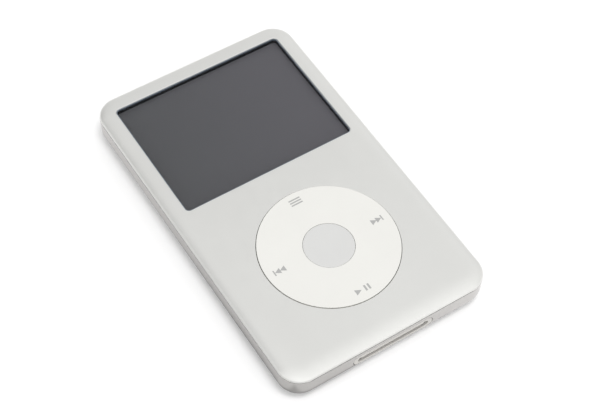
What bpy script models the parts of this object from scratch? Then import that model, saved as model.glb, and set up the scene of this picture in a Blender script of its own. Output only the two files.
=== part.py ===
"""Pocket digital audio player: aluminium front, polished steel back, colour screen and touch wheel.

Modelled lying on its back: the origin is under its middle on the table, +X is its right side,
+Y is the screen end and +Z comes out of the front. The numbers are millimetres, and MM turns
them into metres. Each separate physical piece is one closed solid in its own object.
"""
import math

import bmesh
import bpy
from mathutils import Vector

MM = 0.001

# Body
WIDTH = 61.8
LENGTH = 103.5
PANEL_TOP = 10.4          # the flat of the front panel; the wheel stands 0.1 higher
CORNER = 6.0              # corner radius seen from the front
SEAM_LOW = 8.35           # rim of the rear shell
SEAM_HIGH = 8.45          # rim of the front panel
REAR_WALL = 0.5
REAR_ROUND = 4.0          # radius that joins the rear shell's sides to its back
PANEL_ROLL = 5.8          # how far in from its edge the front panel starts to roll down
PANEL_POWER = 3.0         # 2 would be an ellipse; more is squarer at the rim
PANEL_WALL = 1.0
HALF_W = WIDTH / 2
HALF_L = LENGTH / 2

# Screen
WINDOW_W = 52.4
WINDOW_L = 39.9
WINDOW_Y = 26.9
WINDOW_CORNER = 1.3
WINDOW_TOP = 10.2
WINDOW_FLANGE = 0.95      # the window's flange reaches this far under the panel
FLANGE_Z = (9.0, 9.3)
GASKET_Z = (8.7, 8.95)
LCD_TOP = 8.65
LCD_BOTTOM = 7.6
LCD_HALF = (26.4, 20.8)
GUIDE_Z = (7.1, 7.5)      # light guide behind the display
TRAY_HALF = (27.0, 21.4)
TRAY_WALL = 0.4
TRAY_Z = (6.93, 8.1)
TRAY_FLOOR = 7.05

# Wheel and button
WHEEL_Y = -21.4
WHEEL_R = 18.95
WHEEL_TOP = 10.5
WHEEL_FLANGE_R = 20.3
WHEEL_BOTTOM = 8.6
BUTTON_R = 7.0
BUTTON_TOP = 10.42
BUTTON_FLANGE_R = 7.8
WHEEL_AXIS_Z = 9.4        # both rocking axes of the wheel cross here
WHEEL_GAP = 0.15
BUTTON_GAP = 0.12

# Inner layers, from the front to the back
SENSOR_Z = (7.75, 8.25)
PLATE_Z = (6.8, 7.1)
BOARD_Z = (5.95, 6.55)
FRAME_Z = (6.0, 6.3)
CHIP_Z = (4.95, 5.9)
FRAME_HALF = (29.9, 51.0)
BOARD_HALF = (27.0, 26.6)
BOARD_Y = -23.4
BATTERY_AT = (1.5, 43.9)
BATTERY_HALF = (15.5, 5.1)
BATTERY_Z = (1.0, 6.6)
FLEX_THICK = 0.12

# Hard drive, a 1.8 inch unit
DRIVE_W = 54.0
DRIVE_L = 71.0
DRIVE_Y = 2.5
DRIVE_TOP = 5.8
BASE_Z = (1.45, 5.3)
BASE_WALL = 1.2
BASE_FLOOR = 2.05
COVER_Z = (5.4, 5.65)
DRIVE_BOARD_Z = (0.9, 1.35)
DRIVE_FOAM_Z = (0.56, 0.8)
PLATTER_R = 24.0
PLATTER_Y = 11.5
PLATTER_Z = (3.6, 4.1)
HUB_R = 5.85
PIVOT = (-12.0, -19.0)    # axis of the actuator arm
ARM_LENGTH = 26.0
ARM_PARKED_DEG = 19.8     # direction of the parked arm, from +X
COIL_REACH = 11.0
BARREL_Z = (2.6, 4.75)
FINGER_Z = (4.3, 4.65)
COIL_Z = (3.35, 3.85)
MAGNET_Z = (2.15, 3.05)
YOKE_Z = (4.15, 4.95)
MAGNET_R = (5.0, 13.5)

# Openings in the two ends
DOCK_Z = 5.25
JACK_Z = 4.85             # height of the earphone socket and of the lock switch
DOCK_W = 24.2
DOCK_H = 3.7
JACK_X = 21.7
JACK_R = 2.75
JACK_BORE = 1.8
LOCK_X = -21.0
LOCK_W = 11.0
LOCK_H = 3.4
LOCK_TRAVEL = 2.2
FIT = 0.12                # gap round a bezel in its opening
DOCK_OPEN = (DOCK_W - 2.6, DOCK_H - 1.1)
DOCK_BEZEL_DEPTH = 1.9
DOCK_DEPTH = 8.2
TONGUE_HALF = (9.7, 0.45)
TONGUE_RISE = 0.35        # the tongue's middle above the dock's middle
TONGUE_DEPTH = (0.35, 7.3)
CONTACTS = 30
CONTACT_PITCH = 0.6
JACK_BEZEL_DEPTH = 1.4
JACK_DEPTH = 12.6
LOCK_OPEN = (LOCK_W - 2.4, LOCK_H - 1.2)
LOCK_BEZEL_DEPTH = 1.2
THUMB_HALF = 3.0
THUMB_DEPTH = 0.25        # the thumb piece lies this far below the end face
HEEL_DEPTH = (1.35, 1.85)

# Screws and the front panel's posts
SCREW_X = 28.6
SCREW_YS = (-40.0, WHEEL_Y, 34.0)
SCREW_HEAD_R = 0.95
SCREW_R = 0.5
SCREW_TIP_Z = 8.6
POST_R = 1.1
POST_HOLE_R = 0.65
SCREW_HOLE_R = 0.7


# ---- scene and materials -------------------------------------------------------------------

for old in list(bpy.data.objects):
    bpy.data.objects.remove(old, do_unlink=True)

MATERIALS = {}


def material(name, colour, roughness, metallic=0.0, alpha=1.0):
    """A Principled material, made once and shared by the pieces of that stuff."""
    if name in MATERIALS:
        return MATERIALS[name]
    made = bpy.data.materials.new(name)
    made.use_nodes = True
    shader = made.node_tree.nodes["Principled BSDF"]
    shader.inputs["Base Color"].default_value = (*colour, 1.0)
    shader.inputs["Roughness"].default_value = roughness
    shader.inputs["Metallic"].default_value = metallic
    shader.inputs["Alpha"].default_value = alpha
    made.diffuse_color = (*colour, alpha)
    MATERIALS[name] = made
    return made


ANODISED = material("anodised_aluminium", (0.72, 0.72, 0.70), 0.42, 1.0)
POLISHED = material("polished_steel", (0.62, 0.60, 0.58), 0.08, 1.0)
STEEL = material("sheet_steel", (0.50, 0.50, 0.50), 0.30, 1.0)
CAST = material("cast_aluminium", (0.45, 0.45, 0.46), 0.45, 1.0)
WHITE = material("white_plastic", (0.86, 0.86, 0.83), 0.35)
GREY = material("light_grey_plastic", (0.72, 0.72, 0.71), 0.40)
BLACK = material("black_plastic", (0.02, 0.02, 0.02), 0.45)
RUBBER = material("blue_rubber", (0.03, 0.12, 0.35), 0.80)
FOAM = material("black_foam", (0.03, 0.03, 0.03), 0.95)
CLEAR = material("clear_window", (0.20, 0.21, 0.22), 0.05, 0.0, 0.35)
GLASS = material("lcd_glass", (0.10, 0.10, 0.11), 0.20)
BOARD = material("circuit_board", (0.02, 0.16, 0.07), 0.50)
CHIP = material("chip_resin", (0.03, 0.03, 0.03), 0.55)
FLEX = material("orange_flex", (0.65, 0.28, 0.05), 0.45)
FOIL = material("battery_foil", (0.55, 0.55, 0.56), 0.35, 1.0)
GOLD = material("gold_plate", (0.85, 0.60, 0.20), 0.25, 1.0)
MIRROR = material("platter_coat", (0.80, 0.80, 0.82), 0.05, 1.0)


# ---- outlines, each a list of (x, y) turning anticlockwise ---------------------------------

def circle(radius, sides, centre=(0.0, 0.0)):
    return [
        (
            centre[0] + radius * math.cos(2 * math.pi * i / sides),
            centre[1] + radius * math.sin(2 * math.pi * i / sides),
        )
        for i in range(sides)
    ]


def rounded(half_x, half_y, radius, steps=6, centre=(0.0, 0.0)):
    """A rectangle whose corners are arcs of this many steps."""
    points = []
    corners = ((1, 1, 0), (-1, 1, 90), (-1, -1, 180), (1, -1, 270))
    for side_x, side_y, start in corners:
        mid_x = centre[0] + side_x * (half_x - radius)
        mid_y = centre[1] + side_y * (half_y - radius)
        for i in range(steps + 1):
            angle = math.radians(start + 90 * i / steps)
            points.append((mid_x + radius * math.cos(angle), mid_y + radius * math.sin(angle)))
    return points


def sector(inner, outer, start_deg, end_deg, steps, centre):
    """A piece of a ring, such as a magnet or a coil."""
    points = []
    for i in range(steps + 1):
        angle = math.radians(start_deg + (end_deg - start_deg) * i / steps)
        points.append((centre[0] + outer * math.cos(angle), centre[1] + outer * math.sin(angle)))
    for i in range(steps + 1):
        angle = math.radians(end_deg + (start_deg - end_deg) * i / steps)
        points.append((centre[0] + inner * math.cos(angle), centre[1] + inner * math.sin(angle)))
    return points


def at(outline, z):
    return [(x, y, z) for x, y in outline]


# ---- solids --------------------------------------------------------------------------------

def finish(name, bm, stuff, origin, smooth_deg):
    mesh = bpy.data.meshes.new(name)
    bm.to_mesh(mesh)
    bm.free()
    mesh.materials.append(stuff)
    mesh.shade_smooth()
    mesh.set_sharp_from_angle(angle=math.radians(smooth_deg))
    made = bpy.data.objects.new(name, mesh)
    made.location = Vector(origin) * MM
    bpy.context.scene.collection.objects.link(made)
    return made


def add_rings(bm, rings, origin):
    base = Vector(origin)
    return [[bm.verts.new((Vector(point) - base) * MM) for point in ring] for ring in rings]


def bridge(bm, lower, upper):
    count = len(lower)
    for i in range(count):
        j = (i + 1) % count
        bm.faces.new((lower[i], lower[j], upper[j], upper[i]))


def loft(name, rings, stuff, origin=(0.0, 0.0, 0.0), smooth_deg=30):
    """A solid through rings of equal length, capped at its first and last ring."""
    bm = bmesh.new()
    made = add_rings(bm, rings, origin)
    for lower, upper in zip(made, made[1:]):
        bridge(bm, lower, upper)
    bm.faces.new(list(reversed(made[0])))
    bm.faces.new(made[-1])
    return finish(name, bm, stuff, origin, smooth_deg)


def hoop(name, rings, stuff, origin=(0.0, 0.0, 0.0), smooth_deg=30):
    """A solid with a hole through it: outer rings going up, then inner rings going down."""
    bm = bmesh.new()
    made = add_rings(bm, rings, origin)
    for lower, upper in zip(made, made[1:] + made[:1]):
        bridge(bm, lower, upper)
    return finish(name, bm, stuff, origin, smooth_deg)


def prism(name, outline, z_low, z_high, stuff, origin=(0.0, 0.0, 0.0)):
    return loft(name, [at(outline, z_low), at(outline, z_high)], stuff, origin)


def block(name, x_span, y_span, z_span, stuff, radius=0.2, steps=2):
    half_x = (x_span[1] - x_span[0]) / 2
    half_y = (y_span[1] - y_span[0]) / 2
    centre = (sum(x_span) / 2, sum(y_span) / 2)
    outline = rounded(half_x, half_y, radius, steps, centre)
    return prism(name, outline, z_span[0], z_span[1], stuff)


def strip(name, path, width, x_mid, thickness, stuff):
    """A thin flat cable: a path of (y, z) points given thickness and width along X."""
    sides = []
    for side in (-1, 1):
        points = []
        for i, (y, z) in enumerate(path):
            before = path[max(i - 1, 0)]
            after = path[min(i + 1, len(path) - 1)]
            along_y = after[0] - before[0]
            along_z = after[1] - before[1]
            length = math.hypot(along_y, along_z)
            points.append((y - side * along_z / length * thickness / 2,
                           z + side * along_y / length * thickness / 2))
        sides.append(points)
    loop = sides[0] + list(reversed(sides[1]))
    area = sum(a[0] * b[1] - b[0] * a[1] for a, b in zip(loop, loop[1:] + loop[:1]))
    if area < 0:
        loop.reverse()
    low = [(x_mid - width / 2, y, z) for y, z in loop]
    high = [(x_mid + width / 2, y, z) for y, z in loop]
    return loft(name, [low, high], stuff)


def arc_path(start, mid, end, steps):
    """Points of a smooth bend from start to end that is pulled towards mid."""
    points = []
    for i in range(steps + 1):
        t = i / steps
        weights = ((1 - t) ** 2, 2 * t * (1 - t), t ** 2)
        points.append(tuple(
            weights[0] * start[k] + weights[1] * mid[k] + weights[2] * end[k] for k in (0, 1)
        ))
    return points


def turn_to_end(made, y_sign, place):
    """Stand a piece modelled along +Z on the -Y or the +Y end."""
    made.rotation_euler = (-y_sign * math.pi / 2, 0.0, 0.0)
    made.location = Vector(place) * MM
    return made


def as_cutter(made):
    made.hide_render = True
    made.display_type = "WIRE"
    return made


def combine(made, other, operation):
    change = made.modifiers.new(operation.lower(), "BOOLEAN")
    change.operation = operation
    change.solver = "EXACT"
    change.object = as_cutter(other)
    return made


# ---- body ----------------------------------------------------------------------------------

def shell_ring(inset, z):
    radius = max(CORNER - inset, 0.3)
    return at(rounded(HALF_W - inset, HALF_L - inset, radius), z)


def rear_profile(inset, floor_z, steps=6):
    """Rings of the rear shell's rounded form, from its back up to its rim."""
    radius = REAR_ROUND - inset
    rings = []
    for i in range(steps + 1):
        angle = math.radians(90 * i / steps)
        rings.append(shell_ring(
            inset + radius * (1 - math.sin(angle)), floor_z + radius * (1 - math.cos(angle))
        ))
    rings.append(shell_ring(inset, SEAM_LOW))
    return rings


def end_form(name):
    """The rear shell's outer form as a solid, which trims the bezels flush with it."""
    return as_cutter(loft(name, rear_profile(0.03, 0.03), GREY))


def stadium(width, height, steps=6):
    return rounded(width / 2, height / 2, height / 2 - 0.001, steps)


def end_opening(name, outline, y_sign, x, z):
    cutter = prism(name, outline, -3.0, 3.0, GREY)
    return turn_to_end(cutter, y_sign, (x, y_sign * HALF_L, z))


def rear_shell():
    outer = rear_profile(0.0, 0.0)
    inner = rear_profile(REAR_WALL, REAR_WALL)
    shell = loft("rear_shell", outer + list(reversed(inner)), POLISHED)
    openings = (
        end_opening("dock_cut", stadium(DOCK_W + 2 * FIT, DOCK_H + 2 * FIT), -1, 0.0, DOCK_Z),
        end_opening("jack_cut", circle(JACK_R + FIT, 24), 1, JACK_X, JACK_Z),
        end_opening("lock_cut", stadium(LOCK_W + 2 * FIT, LOCK_H + 2 * FIT), 1, LOCK_X, JACK_Z),
    )
    for opening in openings:
        combine(shell, opening, "DIFFERENCE")


def rear_clips():
    """Spring rails fixed inside the rear shell's long sides, which snap onto the mid frame."""
    wall = HALF_W - REAR_WALL - 0.08
    for side, name in ((-1, "rear_clip_left"), (1, "rear_clip_right")):
        rail = loft(name, [
            [(side * x, y, z) for y, z in ((-34.0, 6.45), (34.0, 6.45), (34.0, 7.7), (-34.0, 7.7))]
            for x in ((wall - 0.25, wall) if side > 0 else (wall, wall - 0.25))
        ], STEEL)
        for index, y in enumerate((-25.5, -8.5, 8.5, 25.5)):
            notch = block(
                f"{name}_notch_{index}", (side * wall - 1, side * wall + 1), (y - 3, y + 3),
                (7.2, 8.2), STEEL,
            )
            combine(rail, notch, "DIFFERENCE")


def panel_profile(steps=7):
    """Outer rings of the front panel, from its rim up to its flat, on a superellipse."""
    height = PANEL_TOP - SEAM_HIGH
    power = 2 / PANEL_POWER
    rings = []
    for i in range(steps + 1):
        angle = math.pi / 2 * i / steps
        run = max(math.cos(angle), 0.0) ** power
        rise = math.sin(angle) ** power
        rings.append(shell_ring(PANEL_ROLL * (1 - run), SEAM_HIGH + height * rise))
    return rings


def front_panel():
    ceiling = PANEL_TOP - PANEL_WALL
    inner = [
        shell_ring(2.4, ceiling),
        shell_ring(1.6, ceiling - 0.1),
        shell_ring(1.1, ceiling - 0.4),
        shell_ring(1.0, SEAM_HIGH),
    ]
    panel = loft("front_panel", inner + panel_profile(), ANODISED)
    window = rounded(WINDOW_W / 2, WINDOW_L / 2, WINDOW_CORNER, 4, (0.0, WINDOW_Y))
    combine(panel, prism("window_cut", window, 8.8, 11.0, ANODISED), "DIFFERENCE")
    wheel = circle(WHEEL_R + WHEEL_GAP, 64, (0.0, WHEEL_Y))
    combine(panel, prism("wheel_cut", wheel, 8.8, 11.0, ANODISED), "DIFFERENCE")
    for index, (x, y) in enumerate(screw_places()):
        foot = PLATE_Z[1] + 0.1 if y == WHEEL_Y else FRAME_Z[1] + 0.1
        outer = circle(POST_R, 12, (x, y))
        inner_hole = circle(POST_HOLE_R, 12, (x, y))
        post = loft(f"post_{index}", [
            at(outer, foot), at(outer, ceiling + 0.2),
        ], ANODISED)
        combine(panel, post, "UNION")
        hole = prism(f"post_hole_{index}", inner_hole, foot - 0.5, ceiling - 0.3, ANODISED)
        combine(panel, hole, "DIFFERENCE")


def screw_places():
    return [(side * SCREW_X, y) for side in (-1, 1) for y in SCREW_YS]


def frame_screws():
    """Six small screws that hold the mid frame to the front panel's posts."""
    low = FRAME_Z[0] - 0.1
    for index, (x, y) in enumerate(screw_places(), start=1):
        head = circle(SCREW_HEAD_R, 12, (x, y))
        neck = circle(SCREW_R, 12, (x, y))
        screw = loft(f"frame_screw_{index}", [
            at(circle(SCREW_HEAD_R - 0.2, 12, (x, y)), low - 0.5), at(head, low - 0.35),
            at(head, low), at(neck, low), at(neck, SCREW_TIP_Z),
        ], STEEL)
        for turn, (half_x, half_y) in enumerate(((0.55, 0.1), (0.1, 0.55))):
            slot = prism(
                f"drive_slot_{index}_{turn}", rounded(half_x, half_y, 0.02, 1, (x, y)),
                low - 0.8, low - 0.25, STEEL,
            )
            combine(screw, slot, "DIFFERENCE")


# ---- screen --------------------------------------------------------------------------------

def screen():
    spot = (0.0, WINDOW_Y)
    half_x = WINDOW_W / 2
    half_y = WINDOW_L / 2
    flange = rounded(half_x + WINDOW_FLANGE, half_y + WINDOW_FLANGE, 1.8, 4, spot)
    body = rounded(half_x - 0.1, half_y - 0.1, WINDOW_CORNER - 0.1, 4, spot)
    bevel = rounded(half_x - 0.2, half_y - 0.2, WINDOW_CORNER - 0.2, 4, spot)
    loft("display_window", [
        at(flange, FLANGE_Z[0]), at(flange, FLANGE_Z[1]), at(body, FLANGE_Z[1]),
        at(body, WINDOW_TOP - 0.1), at(bevel, WINDOW_TOP),
    ], CLEAR)
    seal_out = rounded(half_x + 0.75, half_y + 0.75, 1.7, 4, spot)
    seal_in = rounded(half_x - 0.1, half_y - 0.1, WINDOW_CORNER - 0.1, 4, spot)
    low, high = GASKET_Z
    hoop("window_gasket", [
        at(seal_out, low), at(seal_out, high), at(seal_in, high), at(seal_in, low),
    ], FOAM)
    glass = rounded(*LCD_HALF, 0.5, 2, spot)
    prism("lcd_panel", glass, LCD_BOTTOM, LCD_TOP, GLASS)
    prism("lcd_light_guide", glass, *GUIDE_Z, WHITE)
    tray_out = rounded(*TRAY_HALF, 0.9, 3, spot)
    tray_in = rounded(TRAY_HALF[0] - TRAY_WALL, TRAY_HALF[1] - TRAY_WALL, 0.6, 3, spot)
    loft("lcd_tray", [
        at(tray_out, TRAY_Z[0]), at(tray_out, TRAY_Z[1]), at(tray_in, TRAY_Z[1]),
        at(tray_in, TRAY_FLOOR),
    ], WHITE)
    tail = arc_path((5.2, 7.7), (3.0, 7.7), (2.2, 7.3), 6)
    strip("lcd_flex", tail, 14.0, 0.0, FLEX_THICK, FLEX)
    block("display_connector", (-8.0, 8.0), (1.0, 2.7), (6.62, 7.15), BLACK)


# ---- frame and electronics -----------------------------------------------------------------

def mid_frame():
    outline = rounded(*FRAME_HALF, 5.5)
    frame = prism("mid_frame", outline, FRAME_Z[0], FRAME_Z[1], STEEL)
    gaps = (("board_gap", -24.5, 28.1), ("top_gap", 48.5, 10.0))
    for name, mid_y, half_y in gaps:
        gap = rounded(27.4, half_y, 1.5, 3, (0.0, mid_y))
        combine(frame, prism(name, gap, 5.0, 7.0, STEEL), "DIFFERENCE")
    for index, x in enumerate((-14.0, 14.0)):
        light = rounded(10.0, 13.0, 2.0, 3, (x, 21.0))
        combine(frame, prism(f"light_gap_{index}", light, 5.0, 7.0, STEEL), "DIFFERENCE")
    for index, place in enumerate(screw_places()):
        hole = prism(f"frame_hole_{index}", circle(SCREW_HOLE_R, 12, place), 5.0, 7.0, STEEL)
        combine(frame, hole, "DIFFERENCE")


def electronics():
    board = prism("logic_board", rounded(*BOARD_HALF, 1.2, 3, (0.0, BOARD_Y)), *BOARD_Z, BOARD)
    socket_gap = prism("socket_gap", rounded(13.2, 4.0, 0.8, 2, (0.0, -47.4)), 5.0, 7.0, BOARD)
    combine(board, socket_gap, "DIFFERENCE")
    chips = (
        ("main_processor", (-17.0, -8.0), (-43.0, -34.8), CHIP),
        ("memory_chip", (-6.5, 1.5), (-43.0, -35.0), CHIP),
        ("power_chip", (3.0, 9.0), (-42.0, -36.0), CHIP),
        ("audio_chip", (-22.5, -18.0), (-42.0, -37.5), CHIP),
        ("drive_connector", (11.0, 25.0), (-37.4, -34.9), BLACK),
        ("battery_connector", (-26.5, -23.5), (-39.0, -36.5), WHITE),
    )
    for name, x_span, y_span, stuff in chips:
        block(name, x_span, y_span, CHIP_Z, stuff)
    disc = circle(4.4, 24, (16.0, -39.0))
    loft("piezo_clicker", [at(disc, 0.6), at(disc, 0.95)], GOLD)
    wheel_tail = arc_path((-41.6, 8.0), (-43.2, 8.0), (-43.1, 6.7), 6)
    strip("wheel_flex", wheel_tail, 6.0, 0.0, FLEX_THICK, FLEX)


def battery():
    low, high = BATTERY_Z
    cell = rounded(*BATTERY_HALF, 1.0, 3, BATTERY_AT)
    inset = rounded(BATTERY_HALF[0] - 0.4, BATTERY_HALF[1] - 0.4, 0.8, 3, BATTERY_AT)
    loft("battery", [
        at(inset, low), at(cell, low + 0.4), at(cell, high - 0.4), at(inset, high),
    ], FOIL)
    run = [(38.6, 2.6), (38.35, 1.2), (37.9, 0.68), (-33.2, 0.68)]
    run += arc_path((-34.2, 0.72), (-37.4, 0.8), (-37.7, 4.85), 6)
    strip("battery_flex", run, 2.4, -25.0, FLEX_THICK, FLEX)


# ---- hard drive ----------------------------------------------------------------------------

def drive_outline(inset, radius):
    return rounded(DRIVE_W / 2 - inset, DRIVE_L / 2 - inset, radius, 3, (0.0, DRIVE_Y))


def drive_case():
    loft("drive_base", [
        at(drive_outline(0.0, 2.0), BASE_Z[0]), at(drive_outline(0.0, 2.0), BASE_Z[1]),
        at(drive_outline(BASE_WALL, 1.5), BASE_Z[1]), at(drive_outline(BASE_WALL, 1.5), BASE_FLOOR),
    ], CAST)
    loft("drive_cover", [
        at(drive_outline(0.1, 2.0), COVER_Z[0]), at(drive_outline(0.1, 2.0), COVER_Z[1]),
        at(drive_outline(0.8, 1.6), DRIVE_TOP),
    ], STEEL)
    prism("drive_board", rounded(22.0, 30.0, 1.0, 2, (1.5, 2.5)), *DRIVE_BOARD_Z, BOARD)
    prism("drive_foam_pad", rounded(21.0, 32.0, 1.0, 2, (2.0, 2.0)), *DRIVE_FOAM_Z, FOAM)


def drive_spindle():
    place = (0.0, PLATTER_Y)
    prism("drive_spindle_motor", circle(8.0, 24, place), 2.1, 2.5, STEEL)
    axis = (0.0, PLATTER_Y, 0.0)
    wide = circle(8.4, 32, place)
    narrow = circle(HUB_R, 32, place)
    low, high = PLATTER_Z
    loft("drive_spindle_hub", [
        at(wide, 2.6), at(wide, low - 0.05), at(narrow, low - 0.05), at(narrow, high + 0.6),
    ], STEEL, axis)
    rim = circle(PLATTER_R, 64, place)
    bore = circle(HUB_R + 0.05, 64, place)
    hoop("drive_platter", [at(rim, low), at(rim, high), at(bore, high), at(bore, low)], MIRROR, axis)


def arm_outline(half_root, half_tip, reach, angle_deg):
    """A tapered finger from the pivot to the head."""
    angle = math.radians(angle_deg)
    along = Vector((math.cos(angle), math.sin(angle)))
    across = Vector((-along.y, along.x))
    centre = Vector(PIVOT)
    stations = ((2.0, -half_root), (reach, -half_tip), (reach, half_tip), (2.0, half_root))
    return [tuple(centre + along * far + across * side) for far, side in stations]


def drive_actuator():
    axis = (*PIVOT, 0.0)
    post = circle(1.4, 16, PIVOT)
    prism("drive_pivot_post", post, 2.1, 5.0, STEEL)
    barrel = circle(3.6, 24, PIVOT)
    bore = circle(1.55, 24, PIVOT)
    arm = hoop("drive_actuator_arm", [
        at(barrel, BARREL_Z[0]), at(barrel, BARREL_Z[1]), at(bore, BARREL_Z[1]),
        at(bore, BARREL_Z[0]),
    ], CAST, axis)
    finger = arm_outline(2.2, 0.7, ARM_LENGTH, ARM_PARKED_DEG)
    combine(arm, prism("arm_finger", finger, *FINGER_Z, CAST), "UNION")
    heading = math.radians(ARM_PARKED_DEG)
    head_at = (
        PIVOT[0] + (ARM_LENGTH - 0.8) * math.cos(heading),
        PIVOT[1] + (ARM_LENGTH - 0.8) * math.sin(heading),
    )
    combine(arm, prism("arm_head", circle(0.6, 8, head_at), 4.2, 4.5, CAST), "UNION")
    back = ARM_PARKED_DEG + 180
    coil = sector(3.0, COIL_REACH, back - 20, back + 20, 6, PIVOT)
    combine(arm, prism("arm_coil", coil, *COIL_Z, CAST), "UNION")
    swept = sector(*MAGNET_R, back - 12, back + 48, 8, PIVOT)
    prism("drive_magnet", swept, *MAGNET_Z, STEEL)
    prism("drive_yoke", swept, *YOKE_Z, STEEL)
    ramp_heading = heading - 0.06
    ramp_at = (
        PIVOT[0] + (ARM_LENGTH + 0.3) * math.cos(ramp_heading),
        PIVOT[1] + (ARM_LENGTH + 0.3) * math.sin(ramp_heading),
    )
    foot = rounded(0.85, 0.85, 0.2, 2, ramp_at)
    crest = rounded(0.6, 0.6, 0.2, 2, ramp_at)
    loft("drive_head_ramp", [at(foot, 2.15), at(foot, 3.7), at(crest, 4.05)], WHITE)


def drive_bumpers():
    """Soft rails along the drive's long sides, ribbed towards the shell."""
    for side, name in ((-1, "drive_bumper_left"), (1, "drive_bumper_right")):
        inner = side * 27.2
        ribs = 7
        points = []
        for i in range(ribs):
            mid = DRIVE_Y - 24.0 + 48.0 * i / (ribs - 1)
            for shift, reach in ((-3.0, 0.5), (-1.6, 1.0), (1.6, 1.0), (3.0, 0.5)):
                points.append((inner + side * reach, mid + shift))
        points = [(inner, DRIVE_Y - 27.0)] + points + [(inner, DRIVE_Y + 27.0)]
        if side < 0:
            points.reverse()
        prism(name, points, 1.5, 5.3, RUBBER)


def drive_ribbon():
    rise = arc_path((-33.5, 2.4), (-34.0, 2.4), (-34.0, 3.2), 3)
    run = rise + arc_path((-34.0, 3.8), (-34.0, 4.72), (-36.4, 4.75), 5)
    strip("drive_ribbon", run, 12.0, 18.0, FLEX_THICK, FLEX)


# ---- dock socket, earphone socket and lock switch ------------------------------------------

def dock():
    face = -HALF_L
    bezel = hoop("dock_bezel", [
        at(stadium(DOCK_W, DOCK_H), -DOCK_BEZEL_DEPTH), at(stadium(DOCK_W, DOCK_H), 0.5),
        at(stadium(*DOCK_OPEN), 0.5), at(stadium(*DOCK_OPEN), -DOCK_BEZEL_DEPTH),
    ], WHITE)
    turn_to_end(bezel, -1, (0.0, face, DOCK_Z))
    combine(bezel, end_form("dock_form"), "INTERSECT")
    housing = loft("dock_housing", [
        at(rounded(12.2, 1.8, 0.3, 2), -DOCK_DEPTH), at(rounded(12.2, 1.8, 0.3, 2), -2.1),
        at(rounded(11.0, 1.4, 0.3, 2), -2.1), at(rounded(11.0, 1.4, 0.3, 2), -7.4),
    ], BLACK)
    turn_to_end(housing, -1, (0.0, face, DOCK_Z))
    plate = rounded(*TONGUE_HALF, 0.2, 2, (0.0, TONGUE_RISE))
    tongue = prism("dock_tongue", plate, -TONGUE_DEPTH[1], -TONGUE_DEPTH[0], WHITE)
    turn_to_end(tongue, -1, (0.0, face, DOCK_Z))
    contacts = dock_contacts()
    turn_to_end(contacts, -1, (0.0, face, DOCK_Z))
    outer = rounded(12.55, 2.03, 0.5, 2)
    inner = rounded(12.35, 1.88, 0.4, 2)
    shield = hoop("dock_shield", [
        at(outer, -8.0), at(outer, -2.2), at(inner, -2.2), at(inner, -8.0),
    ], STEEL)
    turn_to_end(shield, -1, (0.0, face, DOCK_Z))


def dock_contacts():
    """A comb of thirty spring contacts on the tongue, joined at its root."""
    points = []
    for i in range(CONTACTS):
        mid = (i - (CONTACTS - 1) / 2) * CONTACT_PITCH
        for shift, far in ((-0.12, -6.4), (-0.12, -1.6), (0.12, -1.6), (0.12, -6.4)):
            points.append((mid + shift, far))
    half = CONTACTS * CONTACT_PITCH / 2
    outline = [(-half, -7.0)] + [(half, -7.0)] + list(reversed(points))
    area = sum(a[0] * b[1] - b[0] * a[1] for a, b in zip(outline, outline[1:] + outline[:1]))
    if area < 0:
        outline.reverse()
    low = [(x, -0.2, far) for x, far in outline]
    high = [(x, -0.32, far) for x, far in outline]
    return loft("dock_contacts", [low, high], GOLD)


def earphone_jack():
    bezel = hoop("jack_bezel", [
        at(circle(JACK_R, 24), -JACK_BEZEL_DEPTH), at(circle(JACK_R, 24), 0.5),
        at(circle(JACK_BORE, 24), 0.5), at(circle(JACK_BORE, 24), -JACK_BEZEL_DEPTH),
    ], WHITE)
    turn_to_end(bezel, 1, (JACK_X, HALF_L, JACK_Z))
    combine(bezel, end_form("jack_form"), "INTERSECT")
    outer = rounded(3.4, 2.0, 0.4, 2)
    body = loft("headphone_jack", [at(outer, -JACK_DEPTH), at(outer, -1.6)], BLACK)
    turn_to_end(body, 1, (JACK_X, HALF_L, JACK_Z))
    bore = prism("jack_bore", circle(JACK_BORE - 0.05, 24), 1.0 - JACK_DEPTH, 0.0, BLACK)
    turn_to_end(bore, 1, (JACK_X, HALF_L, JACK_Z))
    combine(body, bore, "DIFFERENCE")


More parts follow.
